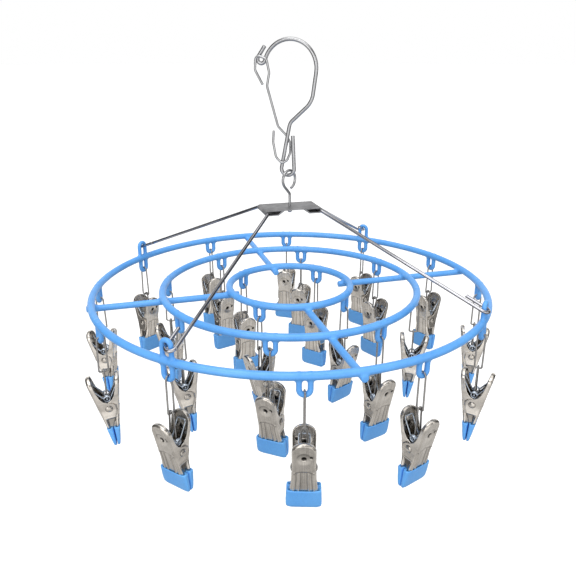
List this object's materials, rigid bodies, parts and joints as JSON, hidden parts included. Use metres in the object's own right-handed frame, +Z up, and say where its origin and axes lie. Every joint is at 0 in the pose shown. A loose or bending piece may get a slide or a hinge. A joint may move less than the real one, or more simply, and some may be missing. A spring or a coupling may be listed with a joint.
{
  "type": "clip drying hanger",
  "caption": "Round hanging drying rack of coated wire rings with sprung clothes clips, carried by wire arms, a swivel and a latched rail hook.",
  "frame": {"origin": "rail seat: the centre of the hook's round crown, on the axis that the rack hangs on", "axes": "+Z up, against the pull of the rack; X across the centre plate between its two hems, Y along the hems"},
  "size_m": [0.3373, 0.3378, 0.2896],
  "materials": {
    "blue_pvc": "smooth dipped coating",
    "clip_steel": "rolled and stamped stainless sheet",
    "bright_wire": "bright drawn wire",
    "hook_wire": "drawn stainless wire",
    "plate_steel": "satin sheet"
  },
  "bodies": {
    "hook": {"hook": "hook_wire"},
    "latch": {"latch": "hook_wire"},
    "swivel": {"swivel": "hook_wire"},
    "plate": {"centre_plate": "plate_steel"},
    "left_bow": {"left_bow": "bright_wire"},
    "right_bow": {"right_bow": "bright_wire"},
    "rack": {"outer_ring": "blue_pvc", "middle_ring": "blue_pvc", "inner_ring": "blue_pvc", "cross_spokes": "blue_pvc", "clip_ears": "blue_pvc", "arm_eyes": "blue_pvc"},
    "clip_01": {"clip_01_hanger": "clip_steel"},
    "clip_01_jaw": {"clip_01_jaw": "clip_steel"},
    "clip_02": {"clip_02_hanger": "clip_steel"},
    "clip_02_jaw": {"clip_02_jaw": "clip_steel"},
    "clip_03": {"clip_03_hanger": "clip_steel"},
    "clip_03_jaw": {"clip_03_jaw": "clip_steel"},
    "clip_04": {"clip_04_hanger": "clip_steel"},
    "clip_04_jaw": {"clip_04_jaw": "clip_steel"},
    "clip_05": {"clip_05_hanger": "clip_steel"},
    "clip_05_jaw": {"clip_05_jaw": "clip_steel"},
    "clip_06": {"clip_06_hanger": "clip_steel"},
    "clip_06_jaw": {"clip_06_jaw": "clip_steel"},
    "clip_07": {"clip_07_hanger": "clip_steel"},
    "clip_07_jaw": {"clip_07_jaw": "clip_steel"},
    "clip_08": {"clip_08_hanger": "clip_steel"},
    "clip_08_jaw": {"clip_08_jaw": "clip_steel"},
    "clip_09": {"clip_09_hanger": "clip_steel"},
    "clip_09_jaw": {"clip_09_jaw": "clip_steel"},
    "clip_10": {"clip_10_hanger": "clip_steel"},
    "clip_10_jaw": {"clip_10_jaw": "clip_steel"},
    "clip_11": {"clip_11_hanger": "clip_steel"},
    "clip_11_jaw": {"clip_11_jaw": "clip_steel"},
    "clip_12": {"clip_12_hanger": "clip_steel"},
    "clip_12_jaw": {"clip_12_jaw": "clip_steel"},
    "clip_13": {"clip_13_hanger": "clip_steel"},
    "clip_13_jaw": {"clip_13_jaw": "clip_steel"},
    "clip_14": {"clip_14_hanger": "clip_steel"},
    "clip_14_jaw": {"clip_14_jaw": "clip_steel"},
    "clip_15": {"clip_15_hanger": "clip_steel"},
    "clip_15_jaw": {"clip_15_jaw": "clip_steel"},
    "clip_16": {"clip_16_hanger": "clip_steel"},
    "clip_16_jaw": {"clip_16_jaw": "clip_steel"},
    "clip_17": {"clip_17_hanger": "clip_steel"},
    "clip_17_jaw": {"clip_17_jaw": "clip_steel"},
    "clip_18": {"clip_18_hanger": "clip_steel"},
    "clip_18_jaw": {"clip_18_jaw": "clip_steel"},
    "clip_19": {"clip_19_hanger": "clip_steel"},
    "clip_19_jaw": {"clip_19_jaw": "clip_steel"},
    "clip_20": {"clip_20_hanger": "clip_steel"},
    "clip_20_jaw": {"clip_20_jaw": "clip_steel"},
    "clip_21": {"clip_21_hanger": "clip_steel"},
    "clip_21_jaw": {"clip_21_jaw": "clip_steel"},
    "clip_22": {"clip_22_hanger": "clip_steel"},
    "clip_22_jaw": {"clip_22_jaw": "clip_steel"},
    "clip_23": {"clip_23_hanger": "clip_steel"},
    "clip_23_jaw": {"clip_23_jaw": "clip_steel"},
    "clip_24": {"clip_24_hanger": "clip_steel"},
    "clip_24_jaw": {"clip_24_jaw": "clip_steel"}
  },
  "joints": [
    {"name": "latch_spring", "type": "hinge", "parent": "hook", "child": "latch", "pos_m": [-0.00264, 0.0018, -0.0595], "axis": [0.5635, 0.8261, 0], "range_deg": [0, 18], "stiffness_Nm_per_rad": 0.05, "springref_deg": -17.19},
    {"name": "eye_swing", "type": "hinge", "parent": "hook", "child": "swivel", "pos_m": [-0.0014, 0.00096, -0.0794], "axis": [0.8261, -0.5635, 0], "range_deg": [-25, 12]},
    {"name": "plate_spin", "type": "hinge", "parent": "swivel", "child": "plate", "pos_m": [0, 0, -0.1044], "axis": [0, 0, 1], "continuous": true},
    {"name": "left_bow_tilt", "type": "hinge", "parent": "plate", "child": "left_bow", "pos_m": [-0.0216, 0, -0.10616], "axis": [0, 1, 0], "range_deg": [-6, 6]},
    {"name": "right_bow_tilt", "type": "hinge", "parent": "plate", "child": "right_bow", "pos_m": [0.0216, 0, -0.10616], "axis": [0, 1, 0], "range_deg": [-6, 6]},
    {"name": "rack_tilt", "type": "hinge", "parent": "left_bow", "child": "rack", "pos_m": [-0.11314, 0, -0.1608], "axis": [0, 1, 0], "range_deg": [-1.2, 1.2]},
    {"name": "clip_01_swing", "type": "hinge", "parent": "rack", "child": "clip_01", "pos_m": [0.15455, 0.04141, -0.18425], "axis": [0.2588, -0.9659, 0], "range_deg": [-20, 40]},
    {"name": "clip_01_open", "type": "hinge", "parent": "clip_01", "child": "clip_01_jaw", "pos_m": [0.1541, 0.04122, -0.23678], "axis": [0.3907, -0.9205, 0], "range_deg": [0, 18], "stiffness_Nm_per_rad": 0.2, "springref_deg": -40.11},
    {"name": "clip_02_swing", "type": "hinge", "parent": "rack", "child": "clip_02", "pos_m": [0.11314, 0.11314, -0.18425], "axis": [0.7071, -0.7071, 0], "range_deg": [-20, 40]},
    {"name": "clip_02_open", "type": "hinge", "parent": "clip_02", "child": "clip_02_jaw", "pos_m": [0.11271, 0.11289, -0.23678], "axis": [0.5, -0.866, 0], "range_deg": [0, 18], "stiffness_Nm_per_rad": 0.2, "springref_deg": -40.11},
    {"name": "clip_03_swing", "type": "hinge", "parent": "rack", "child": "clip_03", "pos_m": [0.04141, 0.15455, -0.18425], "axis": [0.9659, -0.2588, 0], "range_deg": [-20, 40]},
    {"name": "clip_03_open", "type": "hinge", "parent": "clip_03", "child": "clip_03_jaw", "pos_m": [0.04115, 0.15414, -0.23678], "axis": [0.8387, -0.5446, 0], "range_deg": [0, 18], "stiffness_Nm_per_rad": 0.2, "springref_deg": -40.11},
    {"name": "clip_04_swing", "type": "hinge", "parent": "rack", "child": "clip_04", "pos_m": [-0.04141, 0.15455, -0.18425], "axis": [0.9659, 0.2588, 0], "range_deg": [-20, 40]},
    {"name": "clip_04_open", "type": "hinge", "parent": "clip_04", "child": "clip_04_jaw", "pos_m": [-0.04128, 0.15408, -0.23678], "axis": [0.9659, 0.2588, 0], "range_deg": [0, 18], "stiffness_Nm_per_rad": 0.2, "springref_deg": -40.11},
    {"name": "clip_05_swing", "type": "hinge", "parent": "rack", "child": "clip_05", "pos_m": [-0.11314, 0.11314, -0.18425], "axis": [0.7071, 0.7071, 0], "range_deg": [-20, 40]},
    {"name": "clip_05_open", "type": "hinge", "parent": "clip_05", "child": "clip_05_jaw", "pos_m": [-0.11287, 0.11273, -0.23678], "axis": [0.8387, 0.5446, 0], "range_deg": [0, 18], "stiffness_Nm_per_rad": 0.2, "springref_deg": -40.11},
    {"name": "clip_06_swing", "type": "hinge", "parent": "rack", "child": "clip_06", "pos_m": [-0.15455, 0.04141, -0.18425], "axis": [0.2588, 0.9659, 0], "range_deg": [-20, 40]},
    {"name": "clip_06_open", "type": "hinge", "parent": "clip_06", "child": "clip_06_jaw", "pos_m": [-0.15384, 0.04122, -0.23676], "axis": [0.2588, 0.9659, 0], "range_deg": [0, 18], "stiffness_Nm_per_rad": 0.2, "springref_deg": -40.11},
    {"name": "clip_07_swing", "type": "hinge", "parent": "rack", "child": "clip_07", "pos_m": [-0.15455, -0.04141, -0.18425], "axis": [-0.2588, 0.9659, 0], "range_deg": [-20, 40]},
    {"name": "clip_07_open", "type": "hinge", "parent": "clip_07", "child": "clip_07_jaw", "pos_m": [-0.15382, -0.04139, -0.23676], "axis": [-0.0349, 0.9994, 0], "range_deg": [0, 18], "stiffness_Nm_per_rad": 0.2, "springref_deg": -40.11},
    {"name": "clip_08_swing", "type": "hinge", "parent": "rack", "child": "clip_08", "pos_m": [-0.11314, -0.11314, -0.18425], "axis": [-0.7071, 0.7071, 0], "range_deg": [-20, 40]},
    {"name": "clip_08_open", "type": "hinge", "parent": "clip_08", "child": "clip_08_jaw", "pos_m": [-0.11286, -0.1129, -0.23679], "axis": [-0.6428, 0.766, 0], "range_deg": [0, 18], "stiffness_Nm_per_rad": 0.2, "springref_deg": -40.11},
    {"name": "clip_09_swing", "type": "hinge", "parent": "rack", "child": "clip_09", "pos_m": [-0.03599, -0.1559, -0.18425], "axis": [-0.9744, 0.225, 0], "range_deg": [-20, 40]},
    {"name": "clip_09_open", "type": "hinge", "parent": "clip_09", "child": "clip_09_jaw", "pos_m": [-0.03592, -0.15567, -0.2368], "axis": [-0.9511, 0.309, 0], "range_deg": [0, 18], "stiffness_Nm_per_rad": 0.2, "springref_deg": -40.11},
    {"name": "clip_10_swing", "type": "hinge", "parent": "rack", "child": "clip_10", "pos_m": [0.0441, -0.1538, -0.18425], "axis": [-0.9613, -0.2756, 0], "range_deg": [-20, 40]},
    {"name": "clip_10_open", "type": "hinge", "parent": "clip_10", "child": "clip_10_jaw", "pos_m": [0.04397, -0.15346, -0.23679], "axis": [-0.9336, -0.3584, 0], "range_deg": [0, 18], "stiffness_Nm_per_rad": 0.2, "springref_deg": -40.11},
    {"name": "clip_11_swing", "type": "hinge", "parent": "rack", "child": "clip_11", "pos_m": [0.11314, -0.11314, -0.18425], "axis": [-0.7071, -0.7071, 0], "range_deg": [-20, 40]},
    {"name": "clip_11_open", "type": "hinge", "parent": "clip_11", "child": "clip_11_jaw", "pos_m": [0.11291, -0.11293, -0.23679], "axis": [-0.6691, -0.7431, 0], "range_deg": [0, 18], "stiffness_Nm_per_rad": 0.2, "springref_deg": -40.11},
    {"name": "clip_12_swing", "type": "hinge", "parent": "rack", "child": "clip_12", "pos_m": [0.15455, -0.04141, -0.18425], "axis": [-0.2588, -0.9659, 0], "range_deg": [-20, 40]},
    {"name": "clip_12_open", "type": "hinge", "parent": "clip_12", "child": "clip_12_jaw", "pos_m": [0.15422, -0.04124, -0.23679], "axis": [-0.454, -0.891, 0], "range_deg": [0, 18], "stiffness_Nm_per_rad": 0.2, "springref_deg": -40.11},
    {"name": "clip_13_swing", "type": "hinge", "parent": "rack", "child": "clip_13", "pos_m": [0.09701, 0.04018, -0.18425], "axis": [0.3827, -0.9239, 0], "range_deg": [-20, 20]},
    {"name": "clip_13_open", "type": "hinge", "parent": "clip_13", "child": "clip_13_jaw", "pos_m": [0.09656, 0.03999, -0.23678], "axis": [0.3827, -0.9239, 0], "range_deg": [0, 18], "stiffness_Nm_per_rad": 0.2, "springref_deg": -40.11},
    {"name": "clip_14_swing", "type": "hinge", "parent": "rack", "child": "clip_14", "pos_m": [0.04018, 0.09701, -0.18425], "axis": [0.9239, -0.3827, 0], "range_deg": [-20, 20]},
    {"name": "clip_14_open", "type": "hinge", "parent": "clip_14", "child": "clip_14_jaw", "pos_m": [0.03988, 0.09662, -0.23678], "axis": [0.7934, -0.6088, 0], "range_deg": [0, 18], "stiffness_Nm_per_rad": 0.2, "springref_deg": -40.11},
    {"name": "clip_15_swing", "type": "hinge", "parent": "rack", "child": "clip_15", "pos_m": [-0.04018, 0.09701, -0.18425], "axis": [0.9239, 0.3827, 0], "range_deg": [-20, 20]},
    {"name": "clip_15_open", "type": "hinge", "parent": "clip_15", "child": "clip_15_jaw", "pos_m": [-0.04003, 0.09654, -0.23678], "axis": [0.9537, 0.3007, 0], "range_deg": [0, 18], "stiffness_Nm_per_rad": 0.2, "springref_deg": -40.11},
    {"name": "clip_16_swing", "type": "hinge", "parent": "rack", "child": "clip_16", "pos_m": [-0.09701, 0.04018, -0.18425], "axis": [0.3827, 0.9239, 0], "range_deg": [-20, 20]},
    {"name": "clip_16_open", "type": "hinge", "parent": "clip_16", "child": "clip_16_jaw", "pos_m": [-0.09644, 0.03995, -0.23677], "axis": [0.3827, 0.9239, 0], "range_deg": [0, 18], "stiffness_Nm_per_rad": 0.2, "springref_deg": -40.11},
    {"name": "clip_17_swing", "type": "hinge", "parent": "rack", "child": "clip_17", "pos_m": [-0.09701, -0.04018, -0.18425], "axis": [-0.3827, 0.9239, 0], "range_deg": [-20, 20]},
    {"name": "clip_17_open", "type": "hinge", "parent": "clip_17", "child": "clip_17_jaw", "pos_m": [-0.0964, -0.0401, -0.23677], "axis": [-0.1305, 0.9914, 0], "range_deg": [0, 18], "stiffness_Nm_per_rad": 0.2, "springref_deg": -40.11},
    {"name": "clip_18_swing", "type": "hinge", "parent": "rack", "child": "clip_18", "pos_m": [-0.04187, -0.09629, -0.18425], "axis": [-0.9171, 0.3987, 0], "range_deg": [-20, 20]},
    {"name": "clip_18_open", "type": "hinge", "parent": "clip_18", "child": "clip_18_jaw", "pos_m": [-0.04156, -0.09591, -0.23678], "axis": [-0.7826, 0.6225, 0], "range_deg": [0, 18], "stiffness_Nm_per_rad": 0.2, "springref_deg": -40.11},
    {"name": "clip_19_swing", "type": "hinge", "parent": "rack", "child": "clip_19", "pos_m": [0.04018, -0.09701, -0.18425], "axis": [-0.9239, -0.3827, 0], "range_deg": [-20, 20]},
    {"name": "clip_19_open", "type": "hinge", "parent": "clip_19", "child": "clip_19_jaw", "pos_m": [0.04008, -0.09666, -0.23679], "axis": [-0.9588, -0.284, 0], "range_deg": [0, 18], "stiffness_Nm_per_rad": 0.2, "springref_deg": -40.11},
    {"name": "clip_20_swing", "type": "hinge", "parent": "rack", "child": "clip_20", "pos_m": [0.09701, -0.04018, -0.18425], "axis": [-0.3827, -0.9239, 0], "range_deg": [-20, 20]},
    {"name": "clip_20_open", "type": "hinge", "parent": "clip_20", "child": "clip_20_jaw", "pos_m": [0.09657, -0.03996, -0.23678], "axis": [-0.4617, -0.887, 0], "range_deg": [0, 18], "stiffness_Nm_per_rad": 0.2, "springref_deg": -40.11},
    {"name": "clip_21_swing", "type": "hinge", "parent": "rack", "child": "clip_21", "pos_m": [0.03571, 0.03571, -0.18425], "axis": [0.7071, -0.7071, 0], "range_deg": [-20, 20]},
    {"name": "clip_21_open", "type": "hinge", "parent": "clip_21", "child": "clip_21_jaw", "pos_m": [0.03534, 0.03539, -0.23678], "axis": [0.6561, -0.7547, 0], "range_deg": [0, 18], "stiffness_Nm_per_rad": 0.2, "springref_deg": -40.11},
    {"name": "clip_22_swing", "type": "hinge", "parent": "rack", "child": "clip_22", "pos_m": [-0.03109, 0.03979, -0.18425], "axis": [0.788, 0.6157, 0], "range_deg": [-20, 20]},
    {"name": "clip_22_open", "type": "hinge", "parent": "clip_22", "child": "clip_22_jaw", "pos_m": [-0.03102, 0.03931, -0.23678], "axis": [0.9903, 0.1392, 0], "range_deg": [0, 18], "stiffness_Nm_per_rad": 0.2, "springref_deg": -40.11},
    {"name": "clip_23_swing", "type": "hinge", "parent": "rack", "child": "clip_23", "pos_m": [-0.03508, -0.03633, -0.18425], "axis": [-0.7193, 0.6947, 0], "range_deg": [-20, 20]},
    {"name": "clip_23_open", "type": "hinge", "parent": "clip_23", "child": "clip_23_jaw", "pos_m": [-0.03461, -0.03621, -0.23678], "axis": [-0.2419, 0.9703, 0], "range_deg": [0, 18], "stiffness_Nm_per_rad": 0.2, "springref_deg": -40.11},
    {"name": "clip_24_swing", "type": "hinge", "parent": "rack", "child": "clip_24", "pos_m": [0.03571, -0.03571, -0.18425], "axis": [-0.7071, -0.7071, 0], "range_deg": [-20, 20]},
    {"name": "clip_24_open", "type": "hinge", "parent": "clip_24", "child": "clip_24_jaw", "pos_m": [0.0355, -0.03527, -0.23678], "axis": [-0.9063, -0.4226, 0], "range_deg": [0, 18], "stiffness_Nm_per_rad": 0.2, "springref_deg": -40.11}
  ],
  "couplings": [
    {"joint": "right_bow_tilt", "follows": "left_bow_tilt", "ratio": 1},
    {"joint": "rack_tilt", "follows": "left_bow_tilt", "ratio": -0.1909}
  ]
}
